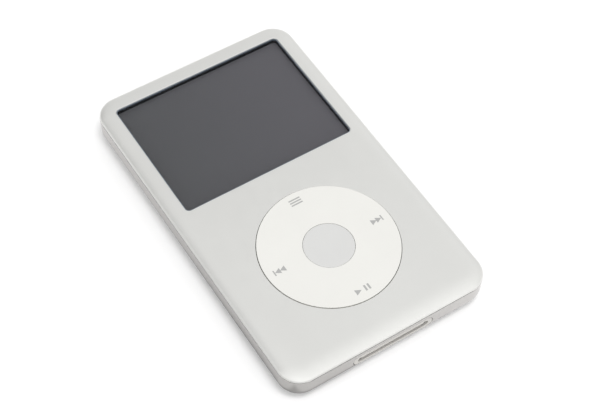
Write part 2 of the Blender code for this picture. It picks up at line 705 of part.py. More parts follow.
def lock_switch():
    slot_h = LOCK_OPEN[1]
    bezel = hoop("lock_bezel", [
        at(stadium(LOCK_W, LOCK_H), -LOCK_BEZEL_DEPTH), at(stadium(LOCK_W, LOCK_H), 0.5),
        at(stadium(*LOCK_OPEN), 0.5), at(stadium(*LOCK_OPEN), -LOCK_BEZEL_DEPTH),
    ], WHITE)
    turn_to_end(bezel, 1, (LOCK_X, HALF_L, JACK_Z))
    combine(bezel, end_form("lock_form"), "INTERSECT")
    thumb_x = -LOCK_TRAVEL / 2
    thumb = rounded(THUMB_HALF, slot_h / 2 - 0.1, slot_h / 2 - 0.12, 6, (thumb_x, 0.0))
    heel = rounded(THUMB_HALF + 0.6, slot_h / 2 + 0.4, 0.4, 6, (thumb_x, 0.0))
    slider = loft("lock_slider", [
        at(heel, -HEEL_DEPTH[1]), at(heel, -HEEL_DEPTH[0]), at(thumb, -HEEL_DEPTH[0]),
        at(thumb, -THUMB_DEPTH),
    ], GREY)
    turn_to_end(slider, 1, (LOCK_X, HALF_L, JACK_Z))
    for index in range(5):
        groove_x = thumb_x - 1.4 + 0.7 * index
        groove = prism(
            f"grip_{index}", rounded(0.12, 0.7, 0.04, 1, (groove_x, 0.0)), -0.4, 0.2, GREY
        )
        turn_to_end(groove, 1, (LOCK_X, HALF_L, JACK_Z))
        combine(slider, groove, "DIFFERENCE")
    base = prism("lock_switch", rounded(5.2, 1.6, 0.3, 2), -5.0, -2.0, BLACK)
    turn_to_end(base, 1, (LOCK_X, HALF_L, JACK_Z))
    block("jack_flex", (-25.5, 24.5), (44.9, 46.9), (0.6, 0.75), FLEX)


# ---- wheel and button ----------------------------------------------------------------------

def wheel():
    place = (0.0, WHEEL_Y)
    axis = (0.0, WHEEL_Y, WHEEL_AXIS_Z)
    sides = 64
    inner_r = BUTTON_R + BUTTON_GAP
    hoop("touch_wheel", [
        at(circle(WHEEL_FLANGE_R, sides, place), WHEEL_BOTTOM),
        at(circle(WHEEL_FLANGE_R, sides, place), WHEEL_BOTTOM + 0.45),
        at(circle(WHEEL_R, sides, place), WHEEL_BOTTOM + 0.45),
        at(circle(WHEEL_R, sides, place), WHEEL_TOP - 0.12),
        at(circle(WHEEL_R - 0.12, sides, place), WHEEL_TOP),
        at(circle(inner_r + 0.08, sides, place), WHEEL_TOP),
        at(circle(inner_r, sides, place), WHEEL_TOP - 0.08),
        at(circle(inner_r, sides, place), WHEEL_BOTTOM),
    ], WHITE, axis)
    loft("centre_button", [
        at(circle(1.5, 32, place), 7.75), at(circle(1.5, 32, place), 8.0),
        at(circle(BUTTON_FLANGE_R, 32, place), 8.0), at(circle(BUTTON_FLANGE_R, 32, place), 8.35),
        at(circle(BUTTON_R, 32, place), 8.35), at(circle(BUTTON_R, 32, place), BUTTON_TOP - 0.1),
        at(circle(BUTTON_R - 0.1, 32, place), BUTTON_TOP),
    ], GREY, axis)
    rim = circle(20.0, 48, place)
    gap = circle(8.4, 48, place)
    low, high = SENSOR_Z
    hoop("wheel_sensor_board", [at(rim, low), at(rim, high), at(gap, high), at(gap, low)],
         BOARD, axis)


def wheel_support():
    place = (0.0, WHEEL_Y)
    plate = prism("wheel_support_plate", rounded(21.5, 21.2, 3.0, 4, place), *PLATE_Z, STEEL)
    ears = rounded(29.7, 1.5, 1.0, 3, place)
    combine(plate, prism("ears", ears, *PLATE_Z, STEEL), "UNION")
    for index, side in enumerate((-1, 1)):
        hole = circle(SCREW_HOLE_R, 12, (side * SCREW_X, WHEEL_Y))
        combine(plate, prism(f"ear_hole_{index}", hole, 6.0, 8.0, STEEL), "DIFFERENCE")
    film = prism("dome_sheet", circle(18.0, 32, place), PLATE_Z[1] + 0.05, PLATE_Z[1] + 0.15, STEEL)
    reach = 14.0
    spots = [(0.0, 0.0), (reach, 0.0), (0.0, reach), (-reach, 0.0), (0.0, -reach)]
    for index, (x, y) in enumerate(spots):
        centre = (x, y + WHEEL_Y)
        rings = [
            at(circle(radius, 16, centre), PLATE_Z[1] + rise)
            for radius, rise in ((2.5, 0.08), (2.4, 0.18), (1.9, 0.26), (1.0, 0.31))
        ]
        combine(film, loft(f"dome_{index}", rings, STEEL), "UNION")


rear_shell()
rear_clips()
front_panel()
frame_screws()
screen()
mid_frame()
electronics()
battery()
drive_case()
drive_spindle()
drive_actuator()
drive_bumpers()
drive_ribbon()
dock()
earphone_jack()
lock_switch()
wheel()
wheel_support()
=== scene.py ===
"""Looks of the pocket audio player: fine shells, screen, wheel, sockets, finishes, light and camera.

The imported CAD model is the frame, and nothing here moves it. Lengths are millimetres, and MM
turns them into metres. A size with the same name as in the CAD source has the same meaning, and
its comment tells where its value is another one.
"""

import math

import bmesh
import bpy
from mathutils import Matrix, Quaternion, Vector


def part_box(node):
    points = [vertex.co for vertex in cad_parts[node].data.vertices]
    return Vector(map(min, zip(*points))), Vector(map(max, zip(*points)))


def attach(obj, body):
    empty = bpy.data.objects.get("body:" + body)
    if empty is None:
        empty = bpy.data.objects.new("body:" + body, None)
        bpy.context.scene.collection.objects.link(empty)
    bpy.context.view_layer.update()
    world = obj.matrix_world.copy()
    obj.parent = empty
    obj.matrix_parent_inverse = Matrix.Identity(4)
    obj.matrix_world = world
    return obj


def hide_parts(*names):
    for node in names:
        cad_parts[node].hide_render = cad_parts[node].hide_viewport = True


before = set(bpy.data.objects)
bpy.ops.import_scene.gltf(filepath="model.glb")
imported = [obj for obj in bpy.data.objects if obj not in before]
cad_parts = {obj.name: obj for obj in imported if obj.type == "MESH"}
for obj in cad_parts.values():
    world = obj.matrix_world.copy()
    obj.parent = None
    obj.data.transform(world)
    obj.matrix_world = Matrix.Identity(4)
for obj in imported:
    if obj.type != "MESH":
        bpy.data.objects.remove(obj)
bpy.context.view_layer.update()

MM = 0.001


def spans(node):
    """A CAD node's spans along X, Y and Z, in millimetres."""
    low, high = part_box(node)
    return [(low[axis] / MM, high[axis] / MM) for axis in range(3)]


def middle(span):
    return (span[0] + span[1]) / 2


def half(span):
    return (span[1] - span[0]) / 2


# ---- sizes ---------------------------------------------------------------------------------

# Body
PANEL = spans("front_panel")
HALF_W = half(PANEL[0])
HALF_L = half(PANEL[1])
PANEL_TOP = PANEL[2][1]
SEAM_LOW = spans("rear_shell")[2][1] - 0.03       # 8.35 in the CAD
SEAM_HIGH = SEAM_LOW + 0.28       # 8.45 in the CAD, so the seam is narrower there
SEAM_SHADE_LIP = (0.15, 0.45)   # the black lip that paints the shade in the seam: its front and its back, below the surface
CORNER = 6.3              # 6.0 in the CAD
PANEL_ROLL = 5.8
PANEL_POWER = 3.0
PANEL_WALL = 1.0
SKIRT = ((2.4, 0.0), (1.6, 0.1), (1.1, 0.4))      # inside of the rim: inset, drop from the ceiling
SKIRT_WALL = 1.0
REAR_ROUND = 4.7          # 4.0 in the CAD
REAR_WALL = 0.5
RIM_EDGE = 0.08           # softened edge of the panel's rim and of the shell's rim
RIM_ARC = ((0.0, RIM_EDGE), (RIM_EDGE * 0.3, RIM_EDGE * 0.3), (RIM_EDGE, 0.0))
CORNER_STEPS = 20
SIDE_STEPS = 24
ROLL_STEPS = 28
ROUND_STEPS = 16
CUT_BEYOND = 1.0          # how far a cutter stands out of the surface
CUT_THROUGH = 2.0         # and how deep it goes into an end

# Screen
WINDOW = spans("display_window")
WINDOW_FLANGE = 0.95
WINDOW_HALF_W = half(WINDOW[0]) - WINDOW_FLANGE
WINDOW_HALF_L = half(WINDOW[1]) - WINDOW_FLANGE
WINDOW_MID = middle(WINDOW[1])
WINDOW_LOW, WINDOW_TOP = WINDOW[2]
WINDOW_CORNER = 1.3
WINDOW_STEPS = 12
WINDOW_EDGE = 0.16        # rounded edge of the panel round the window
PANE_GAP = 0.22           # from the opening to the clear pane
PANE_EDGE = 0.12
PANE_ALPHA = 0.3
MASK_GAP = 0.08           # from the opening to the dark mask round the pane
MASK_WALL = 0.21          # and to the mask's inner face
MASK_RIM_LOW = WINDOW_TOP - 0.6       # the mask's paler rim, a painted reflection, goes from here up
MASK_RIM_TOP = WINDOW_TOP - 0.03
MASK_RIM_BEVEL = 0.05
LCD = spans("lcd_panel")
LCD_TOP = LCD[2][1]
LCD_BORDER = 0.05         # black border of the display that shows inside the mask
LCD_BORDER_HIGH = 0.06
# painted shade across the display: darker and greener on its left, paler and bluer on its right
LCD_LEFT_SHADED = (0.295, 0.302, 0.318)
LCD_RIGHT_LIT = (0.38, 0.373, 0.412)
LCD_DOT = 0.16
LCD_DOT_LEVEL = 0.99      # brightness of every other dot
CLEAR = 0.01              # keeps two faces from lying in one place

# Wheel and button
WHEEL = spans("touch_wheel")
WHEEL_FLANGE = 1.30       # how far its hidden flange reaches out; 1.35 in the CAD
WHEEL_FLANGE_HIGH = 0.45
WHEEL_R = half(WHEEL[0]) - WHEEL_FLANGE       # 18.95 in the CAD
WHEEL_SPOT = (0.0, middle(WHEEL[1]))
WHEEL_LOW, WHEEL_TOP = WHEEL[2]
WHEEL_GAP = 0.15
WHEEL_EDGE = 0.08
WHEEL_SHIFT = -0.07       # how far the opening lies off the wheel, along X and along Y
BUTTON = spans("centre_button")
BUTTON_FLANGE = 0.9       # 0.8 in the CAD
BUTTON_FLANGE_Z = (0.25, 0.6)     # the flange's heights above the button's foot
BUTTON_STEM_R = 1.5
BUTTON_R = half(BUTTON[0]) - BUTTON_FLANGE    # 7.0 in the CAD
BUTTON_LOW, BUTTON_TOP = BUTTON[2]
BUTTON_GAP = 0.06         # 0.12 in the CAD
BUTTON_EDGE = 0.14
BUTTON_DISH = 0.05        # how much lower the middle of the button is
BUTTON_SIDES = 128
DISH_STEPS = 12
MARK_HEIGHT = 0.012       # ink of the wheel's marks
MARK_TALL = 1.75
SKIP_HALF = 1.72          # half the width of the next and previous marks
SKIP_ARROW = 1.6          # width of one of their two arrows
SKIP_STEP = 1.5
SKIP_BAR = 0.36
PLAY_LEFT = -2.2
PLAY_ARROW = 1.75
PAUSE_LEFTS = (0.5, 1.55)
PAUSE_BAR = 0.55
LIST_HALF = 1.7
LIST_LINE = 0.4
LIST_PITCH = 0.8
MARK_NEXT_X = 15.1
MARK_PREVIOUS_X = -15.2
MARK_PLAY_Y = -15.85
MARK_LIST_Y = 16.2

# Sockets in the ends
FIT = 0.12
DOCK = spans("dock_bezel")
JACK = spans("jack_bezel")
LOCK = spans("lock_bezel")
DOCK_W, DOCK_H = 2 * half(DOCK[0]), 2 * half(DOCK[2])
DOCK_OPEN = (DOCK_W - 2.6, DOCK_H - 1.4)      # its slot is 0.3 higher in the CAD
DOCK_LIP = 0.9            # depth of the dock's white lip, with a black well behind it that paints the shade deep in the slot
DOCK_WELL = 0.3           # how far the well is cut back behind the lip
DOCK_WELL_END = 0.2       # and how far it goes on behind the bezel
DOCK_BEZEL_DEPTH = 1.9
TONGUE_EDGE = 0.08
TONGUE_CORNER = 0.2
JACK_R = half(JACK[0])
JACK_BORE = 1.8
JACK_BEZEL_DEPTH = 1.4
JACK_SIDES = 96
LOCK_W, LOCK_H = 2 * half(LOCK[0]), 2 * half(LOCK[2])
LOCK_OPEN = (LOCK_W - 2.4, LOCK_H - 1.2)
LOCK_BEZEL_DEPTH = 1.2
THUMB_HALF = 3.0
THUMB_GAP = 0.1           # between the thumb piece and the slot's long sides
THUMB_DEPTH = 0.25
THUMB_EDGE = 0.12
HEEL_DEPTH = (1.35, 1.85)
HEEL_REACH = (0.6, 0.4)   # how far the heel reaches past the thumb piece and the slot
HEEL_CORNER = 0.4
THUMB_ROOT = 0.1          # how far the thumb piece reaches into the heel
THUMB_FLAT = 0.02         # half of the short straight part in its round ends
RIDGES = 5
RIDGE_PITCH = 0.7
RIDGE_HEIGHT = 0.09
RIDGE_HALF = 0.16
RIDGE_SLOPE = 0.08        # how much a ridge narrows towards its top
RIDGE_END = 0.3           # from a ridge's end to the thumb piece's side
RIDGE_FLAT = 0.01         # half of the short straight part in its round ends
RIDGE_ROOT = 0.05         # how far a ridge reaches into the thumb piece
RIDGE_STEP = 0.02         # how high it rises before it narrows
END_EDGE = 0.12           # rounded edges of the bezels
END_FLARE = 0.06          # softened edges of the openings in the shell
FACE_SET_BACK = 0.03      # how far the bezels lie below the shell's surface

# Stage
PAPER_RADIUS = 4000.0
PAPER_Z = -0.01
MIRRORED_PAPER_Z = -0.005
PAPER_GLOW = 0.06         # lifts the paper to pure white away from the object
DIM_SPOT = (-90.0, -30.0, 0.0)     # where the painted shade on the mirrored paper is darkest
DIM_INNER = 55.0          # it gets brighter from this far off that spot
DIM_OUTER = 120.0         # to this far
DIM_NEAR = 0.63
DIM_FAR = 0.84
FOOT_START = 0.3          # how far from the body the painted shadow at the foot starts to fade
FOOT_REACH = 2.4          # and how far out it ends
FOOT_SPOT = (-HALF_W, -HALF_L + 20.0, 0.0)    # where that painted shadow is darkest
FOOT_LENGTH = 60.0        # how far it reaches along the body from there
FOOT_DEPTH = 0.45
ROOM_LEVEL = 1.195        # brightness of the room straight overhead
ROOM_DIMMER = (           # directions in which the room gets dimmer, and how much
    ((0.0, 1.0, 0.0), 0.15),
    ((-0.7, 0.7, 0.1), 0.27),
    ((1.0, 0.0, 0.0), 0.31),
    ((0.0, -1.0, 0.0), -0.05),
)
ROOM_GAPS = (             # dim parts of the room: where, inner and outer degrees, level
    ((0.32, 0.50, 0.80), 5.0, 12.0, 0.7),
    ((-0.35, 0.75, 0.55), 10.0, 45.0, 0.73),
    ((-0.70, 0.68, 0.20), 5.0, 25.0, 0.80),
)
LAMP_PLACE = (0.0, -250.0, 1000.0)
LAMP_SIZE = 300.0
LAMP_POWER = 3.0
CAMERA_PLACE = (-127.6, -190.3, 330.2)
CAMERA_AIM = (3.71, -2.11, 0.0)
CAMERA_ROLL_DEG = 2.77
CAMERA_LENS = 88.2
CAMERA_SENSOR = 36.0


# ---- outlines, each a list of (x, y) turning anticlockwise ---------------------------------

def circle(radius, sides=192, centre=(0.0, 0.0)):
    return [
        (
            centre[0] + radius * math.cos(2 * math.pi * i / sides),
            centre[1] + radius * math.sin(2 * math.pi * i / sides),
        )
        for i in range(sides)
    ]


def rounded(half_x, half_y, radius, steps=CORNER_STEPS, centre=(0.0, 0.0), along=1):
    """A rectangle whose corners are arcs of this many steps, its sides cut into equal lengths."""
    points = []
    corners = ((1, 1, 0), (-1, 1, 90), (-1, -1, 180), (1, -1, 270))
    for side_x, side_y, start in corners:
        mid_x = centre[0] + side_x * (half_x - radius)
        mid_y = centre[1] + side_y * (half_y - radius)
        for i in range(steps + 1):
            angle = math.radians(start + 90 * i / steps)
            points.append((mid_x + radius * math.cos(angle), mid_y + radius * math.sin(angle)))
        last_x, last_y = points[-1]
        turn = math.radians(start + 90)
        side = half_x if side_x == side_y else half_y
        length = 2 * (side - radius) / along
        for i in range(1, along):
            points.append((last_x - length * i * math.sin(turn),
                           last_y + length * i * math.cos(turn)))
    return points


def stadium(width, height, steps=CORNER_STEPS):
    return rounded(width / 2, height / 2, height / 2 - 0.001, steps)


def at(outline, z):
    return [(x, y, z) for x, y in outline]


def fillet(radius, steps=5):
    """(away, drop) of a rounded edge, from the flat it leaves to the wall it joins."""
    points = []
    for i in range(steps + 1):
        angle = math.pi / 2 * i / steps
        points.append((radius * (1 - math.sin(angle)), radius * (1 - math.cos(angle))))
    return points


# ---- meshes --------------------------------------------------------------------------------

SHARP_DEG = 40            # edges that turn more than this are sharp
CUT_SHARP_DEG = 30        # and in a mesh that has openings cut in it


def add_rings(bm, rings):
    return [[bm.verts.new(Vector(point) * MM) for point in ring] for ring in rings]


def bridge(bm, rings, close=False):
    following = rings[1:] + (rings[:1] if close else [])
    for lower, upper in zip(rings, following):
        for i in range(len(lower)):
            j = (i + 1) % len(lower)
            bm.faces.new((lower[i], lower[j], upper[j], upper[i]))


def add_loft(bm, rings):
    made = add_rings(bm, rings)
    bridge(bm, made)
    bm.faces.new(list(reversed(made[0])))
    bm.faces.new(made[-1])


def add_hoop(bm, rings):
    bridge(bm, add_rings(bm, rings), close=True)


def as_mesh(name, bm):
    bmesh.ops.recalc_face_normals(bm, faces=bm.faces)
    mesh = bpy.data.meshes.new(name)
    bm.to_mesh(mesh)
    bm.free()
    mesh.shade_smooth()
    mesh.set_sharp_from_angle(angle=math.radians(SHARP_DEG))
    return mesh


def show(name, mesh, stuff, body="root", replaced=()):
    """A piece of the object, which rides on a CAD body and may stand for CAD nodes."""
    mesh.materials.clear()
    mesh.materials.append(stuff)
    made = bpy.data.objects.new(name, mesh)
    bpy.context.scene.collection.objects.link(made)
    weigh = made.modifiers.new("even_shading", "WEIGHTED_NORMAL")
    weigh.keep_sharp = True
    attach(made, body)
    if replaced:
        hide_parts(*replaced)


def cut(name, mesh, cutters):
    """The mesh with the cutters' forms taken out of it."""
    base = bpy.data.objects.new(name, mesh)
    bpy.context.scene.collection.objects.link(base)
    helpers = []
    for index, cutter in enumerate(cutters):
        helper = bpy.data.objects.new(f"{name}_cutter_{index}", cutter)
        bpy.context.scene.collection.objects.link(helper)
        change = base.modifiers.new("cut", "BOOLEAN")
        change.operation = "DIFFERENCE"
        change.solver = "EXACT"
        change.object = helper
        helpers.append(helper)
    graph = bpy.context.evaluated_depsgraph_get()
    made = bpy.data.meshes.new_from_object(base.evaluated_get(graph))
    for helper in [base, *helpers]:
        bpy.data.objects.remove(helper, do_unlink=True)
    made.name = name
    made.shade_smooth()
    made.set_sharp_from_angle(angle=math.radians(CUT_SHARP_DEG))
    return made


# ---- materials -----------------------------------------------------------------------------

NOISE_RANGE = (0.3, 0.7)  # where most of a noise lies


def node(tree, kind, **settings):
    made = tree.nodes.new(kind)
    for key, value in settings.items():
        setattr(made, key, value)
    return made


def grain(tree, size, detail=2.0, stretch=(1.0, 1.0, 1.0)):
    """Noise in the object's own space whose lumps are this many millimetres across."""
    coordinate = node(tree, "ShaderNodeTexCoord")
    scaling = node(tree, "ShaderNodeMapping")
    scaling.inputs["Scale"].default_value = [1 / (size * MM * s) for s in stretch]
    noise = node(tree, "ShaderNodeTexNoise")
    noise.inputs["Scale"].default_value = 1.0
    noise.inputs["Detail"].default_value = detail
    tree.links.new(coordinate.outputs["Object"], scaling.inputs["Vector"])
    tree.links.new(scaling.outputs["Vector"], noise.inputs["Vector"])
    return noise.outputs["Fac"]


def spread(tree, value, low, high):
    """Maps the middle range of a noise to low..high."""
    made = node(tree, "ShaderNodeMapRange")
    made.inputs["From Min"].default_value = NOISE_RANGE[0]
    made.inputs["From Max"].default_value = NOISE_RANGE[1]
    made.inputs["To Min"].default_value = low
    made.inputs["To Max"].default_value = high
    tree.links.new(value, made.inputs["Value"])
    return made.outputs["Result"]


def mixed(tree, value, first, second):
    made = node(tree, "ShaderNodeMix", data_type="RGBA")
    made.inputs["A"].default_value = (*first, 1.0)
    made.inputs["B"].default_value = (*second, 1.0)
    tree.links.new(value, made.inputs["Factor"])
    return made.outputs["Result"]


def multiplied(tree, first, second):
    made = node(tree, "ShaderNodeMix", data_type="RGBA", blend_type="MULTIPLY")
    made.inputs["Factor"].default_value = 1.0
    tree.links.new(first, made.inputs["A"])
    tree.links.new(second, made.inputs["B"])
    return made.outputs["Result"]


def math_node(tree, operation, first, second):
    """A calculation with two values, each a plain number or another node's output."""
    made = node(tree, "ShaderNodeMath", operation=operation)
    for socket, value in zip(made.inputs, (first, second)):
        if isinstance(value, float):
            socket.default_value = value
        else:
            tree.links.new(value, socket)
    return made.outputs[0]


def vector_node(tree, operation, first, second=None):
    """A calculation with a node's vector and, where it takes two, a plain one."""
    made = node(tree, "ShaderNodeVectorMath", operation=operation)
    tree.links.new(first, made.inputs[0])
    if second is not None:
        made.inputs[1].default_value = second
    gives_number = operation in ("DISTANCE", "DOT_PRODUCT", "LENGTH")
    return made.outputs["Value" if gives_number else "Vector"]


def fade(tree, value, start, end, first, last):
    """Goes smoothly from first, where the value is start or less, to last, where it is end."""
    made = node(tree, "ShaderNodeMapRange", interpolation_type="SMOOTHSTEP")
    made.inputs["From Min"].default_value = start
    made.inputs["From Max"].default_value = end
    made.inputs["To Min"].default_value = first
    made.inputs["To Max"].default_value = last
    tree.links.new(value, made.inputs["Value"])
    return made.outputs["Result"]


def finish(name, colour, roughness, metallic=0.0, tint=0.04, tint_size=6.0, rough_spread=0.05,
           rough_size=2.5, bump_size=0.12, bump_depth=0.002, stretch=(1.0, 1.0, 1.0), **more):
    """A Principled material whose colour, roughness and surface vary with noise."""
    made = bpy.data.materials.new(name)
    made.use_nodes = True
    tree = made.node_tree
    shader = tree.nodes["Principled BSDF"]
    dark = [channel * (1 - tint) for channel in colour]
    light = [min(channel * (1 + tint), 1.0) for channel in colour]
    shade = spread(tree, grain(tree, tint_size, 3.0, stretch), 0.0, 1.0)
    tree.links.new(mixed(tree, shade, dark, light), shader.inputs["Base Color"])
    gloss = spread(tree, grain(tree, rough_size, 3.0, stretch),
                   max(roughness - rough_spread, 0.01), roughness + rough_spread)
    tree.links.new(gloss, shader.inputs["Roughness"])
    bump = node(tree, "ShaderNodeBump")
    bump.inputs["Strength"].default_value = 1.0
    bump.inputs["Distance"].default_value = bump_depth * MM
    tree.links.new(grain(tree, bump_size, 2.0, stretch), bump.inputs["Height"])
    tree.links.new(bump.outputs["Normal"], shader.inputs["Normal"])
    shader.inputs["Metallic"].default_value = metallic
    for socket, value in more.items():
        shader.inputs[socket.replace("_", " ")].default_value = value
    return made


FINISHES = {
    "anodised_aluminium": finish(
        "anodised_aluminium", (0.80, 0.80, 0.777), 0.40, 1.0, tint=0.012, tint_size=14.0,
        rough_spread=0.04, bump_size=0.09, bump_depth=0.0012),
    "polished_steel": finish(
        "polished_steel", (0.60, 0.585, 0.57), 0.10, 1.0, tint=0.02, rough_spread=0.03,
        rough_size=1.2, bump_size=1.5, bump_depth=0.0006),
    "sheet_steel": finish(
        "sheet_steel", (0.55, 0.55, 0.54), 0.32, 1.0, rough_spread=0.08, bump_size=0.3,
        stretch=(8.0, 1.0, 1.0)),
    "cast_aluminium": finish(
        "cast_aluminium", (0.55, 0.55, 0.56), 0.48, 1.0, bump_size=0.25, bump_depth=0.012),
    "white_plastic": finish(
        "white_plastic", (0.695, 0.69, 0.66), 0.38, tint=0.01, tint_size=10.0,
        bump_size=0.15, bump_depth=0.0008),
    "light_grey_plastic": finish(
        "light_grey_plastic", (0.58, 0.58, 0.57), 0.40, tint=0.01, bump_size=0.12,
        bump_depth=0.0008),
    "black_plastic": finish(
        "black_plastic", (0.012, 0.013, 0.016), 0.35, tint=0.15, bump_size=0.2),
    "blue_rubber": finish(
        "blue_rubber", (0.03, 0.12, 0.35), 0.75, tint=0.10, bump_size=0.2, bump_depth=0.01),
    "black_foam": finish(
        "black_foam", (0.025, 0.025, 0.028), 0.95, tint=0.3, tint_size=0.3, bump_size=0.25,
        bump_depth=0.06),
    "circuit_board": finish(
        "circuit_board", (0.02, 0.15, 0.07), 0.35, tint=0.35, tint_size=0.7, bump_size=0.5,
        bump_depth=0.01),
    "chip_resin": finish(
        "chip_resin", (0.03, 0.03, 0.032), 0.55, tint=0.2, tint_size=0.2, bump_size=0.12,
        bump_depth=0.004),
    "orange_flex": finish(
        "orange_flex", (0.62, 0.27, 0.05), 0.40, tint=0.15, tint_size=0.4,
        stretch=(1.0, 20.0, 20.0), bump_size=0.4, bump_depth=0.01),
    "battery_foil": finish(
        "battery_foil", (0.60, 0.60, 0.61), 0.35, 1.0, bump_size=1.6, bump_depth=0.05),
    "gold_plate": finish(
        "gold_plate", (0.86, 0.62, 0.25), 0.25, 1.0, bump_size=0.1),
    "platter_coat": finish(
        "platter_coat", (0.80, 0.80, 0.82), 0.06, 1.0, tint=0.01, rough_spread=0.02),
    "dock_white": finish(
        "dock_white", (0.52, 0.505, 0.48), 0.30, tint=0.01, bump_size=0.15, bump_depth=0.0008),
    # painted reflection: the blue-grey that the window's rounded edge mirrors, given to the mask's
    # rim as its colour
    "rim_grey": finish(
        "rim_grey", (0.25, 0.29, 0.345), 0.3, tint=0.1, bump_size=0.3),
    "mark_ink": finish(
        "mark_ink", (0.37, 0.37, 0.365), 0.45, tint=0.02, bump_size=0.1, bump_depth=0.0006),
}


def clear_window():
    """Thin clear plastic: mostly see-through, with a glossy surface of its own."""
    made = finish("clear_window", (0.003, 0.003, 0.004), 0.05, tint=0.05, tint_size=20.0,
                  rough_spread=0.01, rough_size=20.0, bump_size=12.0, bump_depth=0.0008,
                  Specular_IOR_Level=0.2)
    made.node_tree.nodes["Principled BSDF"].inputs["Alpha"].default_value = PANE_ALPHA
    return made


def lcd_glass():
    """Display glass: a faint grid of dots under it, with painted shade that makes it darker and
    greener on its left than on its right.
    """
    made = finish("lcd_glass", LCD_LEFT_SHADED, 0.30, tint=0.0, rough_spread=0.01, rough_size=20.0,
                  bump_size=0.3, bump_depth=0.0002)
    tree = made.node_tree
    place = node(tree, "ShaderNodeSeparateXYZ")
    coordinate = node(tree, "ShaderNodeTexCoord")
    tree.links.new(coordinate.outputs["Object"], place.inputs[0])
    across = node(tree, "ShaderNodeMapRange")
    across.inputs["From Min"].default_value = LCD[0][0] * MM
    across.inputs["From Max"].default_value = LCD[0][1] * MM
    tree.links.new(place.outputs["X"], across.inputs["Value"])
    dots = node(tree, "ShaderNodeTexChecker")
    dots.inputs["Scale"].default_value = 1 / (LCD_DOT * MM)
    dots.inputs["Color1"].default_value = (1.0, 1.0, 1.0, 1.0)
    dots.inputs["Color2"].default_value = (LCD_DOT_LEVEL, LCD_DOT_LEVEL, LCD_DOT_LEVEL, 1.0)
    tree.links.new(coordinate.outputs["Object"], dots.inputs["Vector"])
    # the blend from left to right is painted shade
    shade = mixed(tree, across.outputs["Result"], LCD_LEFT_SHADED, LCD_RIGHT_LIT)
    both = multiplied(tree, shade, dots.outputs["Color"])
    tree.links.new(both, tree.nodes["Principled BSDF"].inputs["Base Color"])
    return made


FINISHES["clear_window"] = clear_window()
FINISHES["lcd_glass"] = lcd_glass()


# ---- body ----------------------------------------------------------------------------------

def shell_ring(inset, z):
    outline = rounded(HALF_W - inset, HALF_L - inset, CORNER - inset, along=SIDE_STEPS)
    return at(outline, z)


def panel_roll():
    """(inset, z) up the front panel's superellipse edge, closer together at both ends."""
    height = PANEL_TOP - SEAM_HIGH
    power = 2 / PANEL_POWER
    points = []
    for i in range(1, ROLL_STEPS + 1):
        angle = math.pi / 4 * (1 - math.cos(math.pi * i / ROLL_STEPS))
        run = max(math.cos(angle), 0.0) ** power
        rise = math.sin(angle) ** power
        points.append((PANEL_ROLL * (1 - run), SEAM_HIGH + height * rise))
    return [point for point in points if point[1] > SEAM_HIGH + RIM_EDGE]


def panel_cutter(name, outline, edge):
    """The form of an opening with a rounded edge in the panel; outline takes a growth."""
    places = [(0.0, SEAM_HIGH)]
    places += [(away, PANEL_TOP - drop) for away, drop in reversed(fillet(edge))]
    places += [(edge, PANEL_TOP + CUT_BEYOND)]
    bm = bmesh.new()
    add_loft(bm, [at(outline(grow), z) for grow, z in places])
    return as_mesh(name, bm)


def window_outline(grow):
    return rounded(WINDOW_HALF_W + grow, WINDOW_HALF_L + grow, WINDOW_CORNER + grow,
                   steps=WINDOW_STEPS, centre=(0.0, WINDOW_MID))


def wheel_outline(grow):
    """The panel's opening for the wheel, which lies a little off the wheel's own middle."""
    centre = (WHEEL_SPOT[0] + WHEEL_SHIFT, WHEEL_SPOT[1] + WHEEL_SHIFT)
    return circle(WHEEL_R + WHEEL_GAP + grow, centre=centre)


def front_shell():
    """The front panel: a rolled skin with openings for the window and the wheel."""
    ceiling = PANEL_TOP - PANEL_WALL
    skirt = [(inset, ceiling - drop) for inset, drop in SKIRT] + [(SKIRT_WALL, SEAM_HIGH)]
    rim = [(inset, SEAM_HIGH + rise) for inset, rise in reversed(RIM_ARC)]
    bm = bmesh.new()
    add_loft(bm, [shell_ring(*place) for place in skirt + rim + panel_roll()])
    cutters = [panel_cutter("window_cut", window_outline, WINDOW_EDGE),
               panel_cutter("wheel_cut", wheel_outline, WHEEL_EDGE)]
    mesh = cut("front_shell", as_mesh("front_shell", bm), cutters)
    show("front_shell", mesh, FINISHES["anodised_aluminium"], replaced=["front_panel"])


def seam_shade_lip():
    """A black lip that paints the shade in the seam, which shows as a dark line between the panel
    and the shell.
    """
    bm = bmesh.new()
    front, back = SEAM_SHADE_LIP
    low, high = SEAM_LOW - CLEAR, SEAM_HIGH + CLEAR
    add_hoop(bm, [shell_ring(front, low), shell_ring(front, high),
                  shell_ring(back, high), shell_ring(back, low)])
    # the black plastic here is painted shade inside the joint
    show("seam_shade_lip", as_mesh("seam_shade_lip", bm), FINISHES["black_plastic"])


def rear_profile(inset):
    """(inset, z) of the rear shell's rounding, from its back up to its side."""
    rounding = fillet(REAR_ROUND - inset, ROUND_STEPS)
    return [(inset + away, inset + rise) for away, rise in rounding]


def shell_inset(z):
    """How far the rear shell's surface lies inside its full width at this height."""
    below = max(REAR_ROUND - z, 0.0)
    return REAR_ROUND - math.sqrt(REAR_ROUND ** 2 - below ** 2)


def on_end(end, centre, outline, depth):
    """An outline laid on the -Y end (-1) or the +Y end (1), this deep below the surface."""
    return [
        (centre[0] + x, end * (HALF_L - shell_inset(centre[1] + up) - depth), centre[1] + up)
        for x, up in outline
    ]


